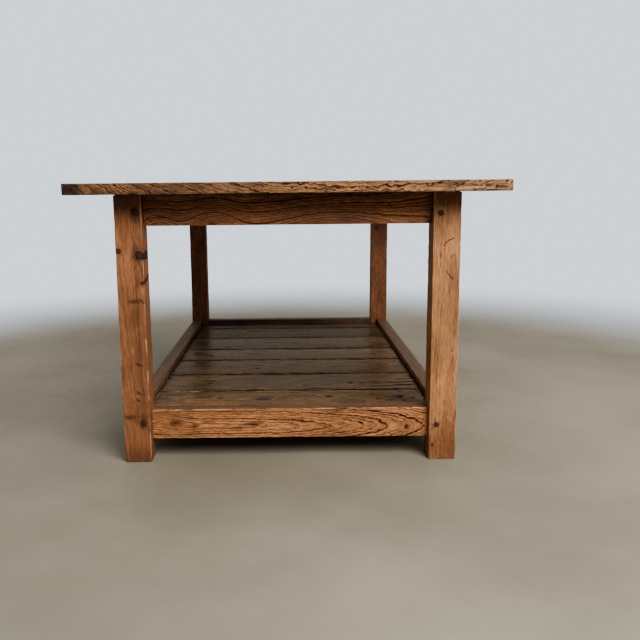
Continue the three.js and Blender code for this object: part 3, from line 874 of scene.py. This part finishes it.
def make_rails():
    start, end = between_legs()
    for level, seed in RAIL_SEEDS.items():
        for i, (side, along) in enumerate(RAIL_GRAIN.items()):
            node = f"{level}_{side}"
            low, high = (v.copy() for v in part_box(node))
            axis = "XYZ".index(along[-1])
            low[axis], high[axis] = start[axis] + SEAM, end[axis] - SEAM
            finish = STRETCHER_FINISHES.get(side, SIDE_RAIL_FINISH)
            if level == "apron":
                finish = APRON_FINISH
            timber(node, f"{level}_wood", along, "Z", finish, RAIL_WEAR, seed + i,
                   body=(low, high), figure=RAIL_FIGURES.get(node), spacing=3.6, contrast=0.95)


# The shelf boards' tones and shines, and the first two's marks, front board first; the back
# boards' darker tones are painted shade
BOARD_TONES_AND_SHADE = (0.88, 0.76, 0.70, 0.82, 0.64, 0.45, 0.5)
BOARD_SHINES = (0.16, 0.22, 0.22, 0.24, 0.2, 0.08, 0.08)
BOARD_DAMAGE = [{
    "smudges": [((-52, 6), 26, 16, 0.85), ((-86, -38), 16, 12, 0.8), ((-20, -42), 18, 8, 0.9),
                ((-165, 20), 30, 8, 0.8), ((10, 30), 40, 7, 0.6), ((196, 4), 34, 30, 0.7)],
    "chips": [((-60, 61), (130, 60), 3.4), ((150, 59), (232, 61), 3.6),
              ((-240, -58), (-120, -60), 1.6)],
    "marks": [((-58, 4), (-36, 7), 3.4), ((-30, -44), (2, -40), 3.0),
              ((-72, 20), (-30, 24), 2.4), ((-230, 40), (-196, 44), 3.0)],
}, {
    "smudges": [((232, -30), 36, 26, 0.8)],
    "chips": [((176, -30), (240, -22), 6.0), ((205, -6), (250, 2), 4.6),
              ((140, -53), (226, -48), 4.0), ((150, -22), (196, -26), 3.0)],
    "marks": [((196, -16), (256, -10), 6.0), ((160, -41), (236, -34), 4.5),
              ((214, 10), (256, 16), 4.0), ((30, -58), (76, -55), 5.0),
              ((-170, 10), (-150, 14), 5.0)],
}]
HOLES = 16      # wormholes in the front board, mm from its middle
HOLES_CENTRE = (196, 2)
HOLES_SPREAD = (20, 26)


def make_shelf():
    draw = np.random.default_rng(57)
    holes = []
    for _ in range(HOLES):
        x, y = draw.normal(HOLES_CENTRE, HOLES_SPREAD)
        holes.append(((x, y), (x + draw.uniform(1, 4), y), draw.uniform(2.8, 5.6)))
    damages = dict(enumerate(BOARD_DAMAGE))
    damages[0] = dict(damages[0], marks=damages[0]["marks"] + holes)
    # each board's own tone, with painted shade on the back boards
    for i, (tone, shine) in enumerate(zip(BOARD_TONES_AND_SHADE, BOARD_SHINES)):
        timber(f"shelf_board_{i + 1}", "shelf_wood", "X", "Y", shelf_finish(tone, shine),
               SHELF_WEAR, 61 + i, step=(4, 6, 6), most_knots=4, cracks=12, damage=damages.get(i))
    for i, side in enumerate(("left", "right")):
        timber(f"shelf_cleat_{side}", "hidden_wood", "Y", "Z", HIDDEN_FINISH, BLOCK_WEAR,
               71 + i, step=(8, 6, 6), spacing=3)


TOP_END_FIGURE = figure_of(
    0, (-38, -24), slope=(0.05, -0.12), bend=(0.1, 0.9), spacing=4.5, wobble=18, zigzag=4.5,
    contrast=1.0, line=5.0,
    # The first smudge is painted shade at the left end; the second is partly a stain and partly
    # painted shade
    smudges=[((-332, -45, 0), 34, 24, 0.95), ((-200, -45, 0), 150, 40, 0.6),
             ((250, -45, 2), 50, 6, 0.6), ((60, -45, -2), 40, 5, 0.5),
             ((326, -45, -2), 10, 5, 0.8)],
    chips=[((254, -45, -4), (300, -45, -2), 1.8), ((292, -45, 5), (336, -45, 4), 2.4),
           ((304, -45, -5), (336, -45, -6), 2.0), ((312, -45, 1), (338, -45, 0), 1.8)])


def make_top():
    front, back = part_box("top_end_front")[1].y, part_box("top_end_back")[0].y
    for i in range(5):
        low, high = (v.copy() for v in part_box(f"top_plank_{i + 1}"))
        low.y, high.y = front + SEAM, back - SEAM
        if i < 4:
            high.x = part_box(f"top_plank_{i + 2}")[0].x - SEAM
        timber(f"top_plank_{i + 1}", "top_wood", "Y", "-X", PLANK_FINISH, TOP_WEAR, 81 + i,
               body=(low, high), step=(5, 6, 6), spacing=6.5, contrast=0.95, line=2.8,
               cracks=4)
    for i, side in enumerate(("front", "back")):
        timber(f"top_end_{side}", "top_wood", "X", "Y", TOP_FINISH, EDGE_WEAR, 91 + i,
               figure=dict(TOP_END_FIGURE, seed=91 + i), step=(3, 5, 4))


def make_joint_shade():
    """A near-black sheet in the hair-thin joint where the top sits on its frame: painted shade
    that keeps the joint dark.
    """
    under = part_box("top_end_front")[0].z
    points, faces = [], []
    centre = Vector((0, 0, under))
    nodes = [f"leg_{corner}" for corner in CORNERS] + [f"apron_{side}" for side in RAIL_GRAIN]
    for i, node in enumerate(nodes):
        low, high = (v.copy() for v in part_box(node))
        low += Vector((SHADE_SHEET_INSET, SHADE_SHEET_INSET, 0))
        high -= Vector((SHADE_SHEET_INSET, SHADE_SHEET_INSET, 0))
        low.z, high.z = high.z - SHADE_SHEET_DEPTH, under
        half = np.array((high - low) / 2)
        bar, quads = worn_block(half, (8 * MM, 8 * MM, MM), SHADE_SHEET_WEAR, 131 + i)
        faces.extend(quads + sum(len(p) for p in points))
        points.append(bar + np.array((low + high) / 2 - centre))
    g = material_graph("joint_shade_sheet")
    spots = g.noise(g.place, 300, 2.0)
    # near-black colours: painted shade in the joint
    colour = g.mix(g.step(spots, 0.35, 0.65), (0.012, 0.006, 0.003), (0.03, 0.014, 0.007))
    sheet_shade = g.done(colour, g.step(spots, 0.3, 0.7, 0.6, 0.8), g.times(spots, 0.1))
    mesh = new_mesh("joint_shade_sheet", np.concatenate(points), faces)
    piece = place("joint_shade_sheet", mesh, Matrix.Translation(centre))
    finish_piece(piece, [], sheet_shade)


def make_buttons():
    sides = ["left_front", "left_back", "right_front", "right_back"]
    rows = [(name, "X", "Y", 101 + i) for i, name in enumerate(sides)]
    rows += [("front", "Y", "Z", 107), ("back", "Y", "Z", 108)]
    for name, along, across, seed in rows:
        timber(f"button_{name}", "hidden_wood", along, across, HIDDEN_FINISH, BLOCK_WEAR,
               seed, step=(4, 4, 4), spacing=3, most_knots=0)


# ---- pegs and nails

def quads_between(first, rings, sides):
    """Quads between rings of points that follow one another from index first."""
    quads = []
    for j in range(sides):
        after = (j + 1) % sides
        for ring in range(rings - 1):
            a, b = first + ring * sides, first + (ring + 1) * sides
            quads.append((a + j, a + after, b + after, b + j))
    return quads


PEG_SIDES = 20
PEG_PROFILE = ((0, 0.72), (0.12, 0.86), (0.4, 0.95), (1.1, 1.0))   # mm in, share of radius
FACETING = 0.05      # how much a peg's facets differ, as a share of its radius


def peg_material():
    g = material_graph("peg_end_grain")
    pores = g.noise(g.place, 900, 2.0, 0.6)
    patch = g.noise(g.place, 160, 2.0)
    colour = g.mix(g.step(patch, 0.3, 0.7), (0.020, 0.009, 0.005), (0.055, 0.024, 0.012))
    colour = g.mix(g.step(pores, 0.55, 0.7), colour, (0.012, 0.006, 0.004))
    rough = g.step(patch, 0.3, 0.7, 0.55, 0.7)
    return g.done(colour, rough, g.times(pores, 0.12), Specular_IOR_Level=0.15)


def whittled_peg(node, material, seed):
    """A slightly faceted peg with eased ends, along a CAD peg's long axis."""
    low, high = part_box(node)
    size = high - low
    long_axis = max(range(3), key=lambda i: size[i])
    half, radius = size[long_axis] / 2, min(size) / 2
    draw = np.random.default_rng(seed)
    facets = 1 - FACETING * draw.random(PEG_SIDES)
    turn = 2 * np.pi * np.arange(PEG_SIDES) / PEG_SIDES
    inward = [(half - d * MM, share) for d, share in PEG_PROFILE]
    profile = [(-x, share) for x, share in inward] + inward[::-1]
    points = [(-half, 0, 0)]
    for x, share in profile:
        for angle, facet in zip(turn, facets):
            reach = radius * share * facet
            points.append((x, reach * math.cos(angle), reach * math.sin(angle)))
    points.append((half, 0, 0))
    faces = quads_between(1, len(profile), PEG_SIDES)
    end = len(points) - 1
    for j in range(PEG_SIDES):
        after = (j + 1) % PEG_SIDES
        faces.append((0, 1 + after, 1 + j))
        faces.append((end - PEG_SIDES + j, end - PEG_SIDES + after, end))
    along = "XYZ"[long_axis]
    across = {"X": "Y", "Y": "Z", "Z": "X"}[along]
    matrix = frame_of((low + high) / 2, along, across)
    piece = place(f"{node}_whittled", new_mesh(node, points, faces), matrix)
    return finish_piece(piece, [node], material, 50)


def make_pegs():
    material = peg_material()
    pegs = sorted(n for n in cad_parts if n.startswith(("peg_", "top_peg_")))
    for i, node in enumerate(pegs):
        whittled_peg(node, material, 200 + i)


NAIL_PROFILE = ((2.1, -3.0), (2.1, -0.45), (1.8, -0.15), (1.1, 0.0))    # radius, height in mm
NAIL_SIDES = 10
NAIL_SINK = 0.35 * MM      # below the shelf's upper face
NAIL_SPREAD = 2.5          # mm either way from its place
NAIL_ROW = 0.27            # of a board's width, either way from its middle
NAIL_MARGIN = 14 * MM      # from the legs' inner faces


def nail_head(x, y, z, first):
    """The points and faces of one round nail head, the first point having index first."""
    points = []
    for radius, height in NAIL_PROFILE:
        for j in range(NAIL_SIDES):
            turn = 2 * math.pi * j / NAIL_SIDES
            points.append((x + radius * MM * math.cos(turn),
                           y + radius * MM * math.sin(turn), z + height * MM))
    faces = quads_between(first, len(NAIL_PROFILE), NAIL_SIDES)
    top = first + (len(NAIL_PROFILE) - 1) * NAIL_SIDES
    faces.append([top + j for j in range(NAIL_SIDES)])
    faces.append([first + j for j in reversed(range(NAIL_SIDES))])
    return points, faces


def make_nails(steel):
    """Four round nail heads in each shelf board, over the cleats."""
    start, stop = (corner.y for corner in between_legs())
    draw = np.random.default_rng(311)
    for i in range(7):
        low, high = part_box(f"shelf_board_{i + 1}")
        centre = (low + high) / 2
        points, faces = [], []
        for side in ("left", "right"):
            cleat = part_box(f"shelf_cleat_{side}")
            for way in (-1, 1):
                x = (cleat[0].x + cleat[1].x) / 2
                y = centre.y + way * NAIL_ROW * (high.y - low.y)
                shift = draw.uniform(-NAIL_SPREAD, NAIL_SPREAD, 2) * MM
                y = min(max(y, start + NAIL_MARGIN), stop - NAIL_MARGIN)
                head = nail_head(x - centre.x + shift[0], y - centre.y + shift[1],
                                 high.z - NAIL_SINK - centre.z, len(points))
                points.extend(head[0])
                faces.extend(head[1])
        name = f"shelf_nails_{i + 1}"
        piece = place(name, new_mesh(name, points, faces), Matrix.Translation(centre))
        finish_piece(piece, [], steel, 50)


def finish_steel():
    """Gives the CAD's own screws their material, and makes the nails of the same steel."""
    g = material_graph("aged_steel")
    spots = g.noise(g.place, 400, 3.0, 0.6)
    colour = g.mix(g.step(spots, 0.45, 0.65), (0.36, 0.34, 0.31), (0.12, 0.07, 0.045))
    rough = g.step(spots, 0.4, 0.65, 0.32, 0.7)
    steel = g.done(colour, rough, g.times(spots, 0.05), Metallic=1.0)
    for name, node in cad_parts.items():
        if name.startswith("screw_"):
            node.data.materials.clear()
            node.data.materials.append(steel)
    make_nails(steel)


make_legs()
make_rails()
make_shelf()
make_top()
make_joint_shade()
make_buttons()
make_pegs()
finish_steel()


# ---- floor, light and camera

FLOOR_FADE = (0.95, 2.1)      # where the floor's fade starts and ends, metres
BACKDROP = (1.3, 1.44, 1.62)
SKY_FRONT = (0.10, 0.107, 0.115)
SKY_BACK = (0.35, 0.28, 0.19)
SKY_HIGH = (0.34, 0.36, 0.385)
# Each light's place, target and size in metres, its watts, and its colour
LIGHTS = {
    "window": ((0.9, -1.95, 1.6), (0, -0.4, 0.25), (1.2, 1.4), 76, (1.0, 0.985, 0.96)),
    "bounce": ((-0.9, 2.3, 1.3), (0, 0.3, 0.3), (1.6, 1.2), 8, (1.0, 0.99, 0.98)),
    "ceiling": ((0.2, 0.2, 2.6), (0, 0, 0), (2.0, 2.0), 34, (1.0, 0.99, 0.97)),
}
# The camera as solved from the photograph: metres, degrees and a share of the frame
CAMERA_PLACE = (0.0026, -1.686, 0.4507)
CAMERA_DOWN, CAMERA_ROLL = 9.75, -0.6
CAMERA_LENS, CAMERA_SHIFT = 41.9, 0.0463


def make_floor():
    """A wide disc that fades into the pale background far from the table."""
    g = material_graph("pale_floor")
    broad = g.noise(g.place, 2.2, 4.0, 0.6)
    fine = g.noise(g.place, 60, 3.0, 0.6)
    colour = g.mix(g.step(broad, 0.3, 0.7), (0.215, 0.187, 0.132), (0.30, 0.262, 0.19))
    material = g.done(colour, g.step(fine, 0.3, 0.7, 0.5, 0.62), g.times(fine, 0.1))
    reach = g.step(g.length(g.place), FLOOR_FADE[0], FLOOR_FADE[1])
    clear = g.node("BsdfTransparent").outputs[0]
    blend = g.node("MixShader", {0: reach, 1: g.shader.outputs[0], 2: clear})
    g.tree.links.new(blend.outputs[0], g.tree.nodes["Material Output"].inputs["Surface"])
    turn = np.linspace(0, 2 * np.pi, 97)[:-1]
    points = np.stack([np.cos(turn), np.sin(turn), 0 * turn], axis=1) * FLOOR_FADE[1]
    floor = place("floor", new_mesh("floor", points, [range(len(points))]))
    floor.data.materials.append(material)


def make_world():
    """A pale background for the camera, and a dimmer sky that lights the table."""
    world = bpy.data.worlds.new("studio")
    bpy.context.scene.world = world
    g = Graph(world)
    _, toward_y, toward_z = g.split(g.node("TexCoord").outputs["Generated"])
    colour = g.mix(g.step(toward_y, -0.1, 0.8, kind="LINEAR"), SKY_FRONT, SKY_BACK)
    colour = g.mix(g.step(toward_z, 0.1, 0.75, kind="LINEAR"), colour, SKY_HIGH)
    sky = g.node("Background", {"Color": colour}).outputs[0]
    backdrop = g.node("Background", {"Color": (*BACKDROP, 1)}).outputs[0]
    seen = g.node("LightPath").outputs["Is Camera Ray"]
    blend = g.node("MixShader", {0: seen, 1: sky, 2: backdrop}).outputs[0]
    g.feed(g.tree.nodes["World Output"].inputs["Surface"], blend)


def make_lights():
    for name, (spot, target, size, power, colour) in LIGHTS.items():
        light = bpy.data.lights.new(name, "AREA")
        light.shape = "RECTANGLE"
        light.size, light.size_y = size
        light.energy = power
        light.color = colour
        lamp = place(name, light)
        lamp.location = spot
        aim = Vector(target) - Vector(spot)
        lamp.rotation_euler = aim.to_track_quat("-Z", "Y").to_euler()
        lamp.visible_camera = False
        lamp.visible_glossy = name != "bounce"      # it would shine in the shelf


def make_camera():
    camera = bpy.data.cameras.new("camera")
    camera.sensor_width = 36
    camera.lens = CAMERA_LENS
    camera.shift_x = CAMERA_SHIFT
    eye = place("camera", camera)
    tilt = Matrix.Rotation(math.radians(90 - CAMERA_DOWN), 4, "X")
    roll = Matrix.Rotation(math.radians(CAMERA_ROLL), 4, "Z")
    eye.matrix_world = Matrix.Translation(CAMERA_PLACE) @ tilt @ roll
    bpy.context.scene.camera = eye


make_floor()
make_world()
make_lights()
make_camera()
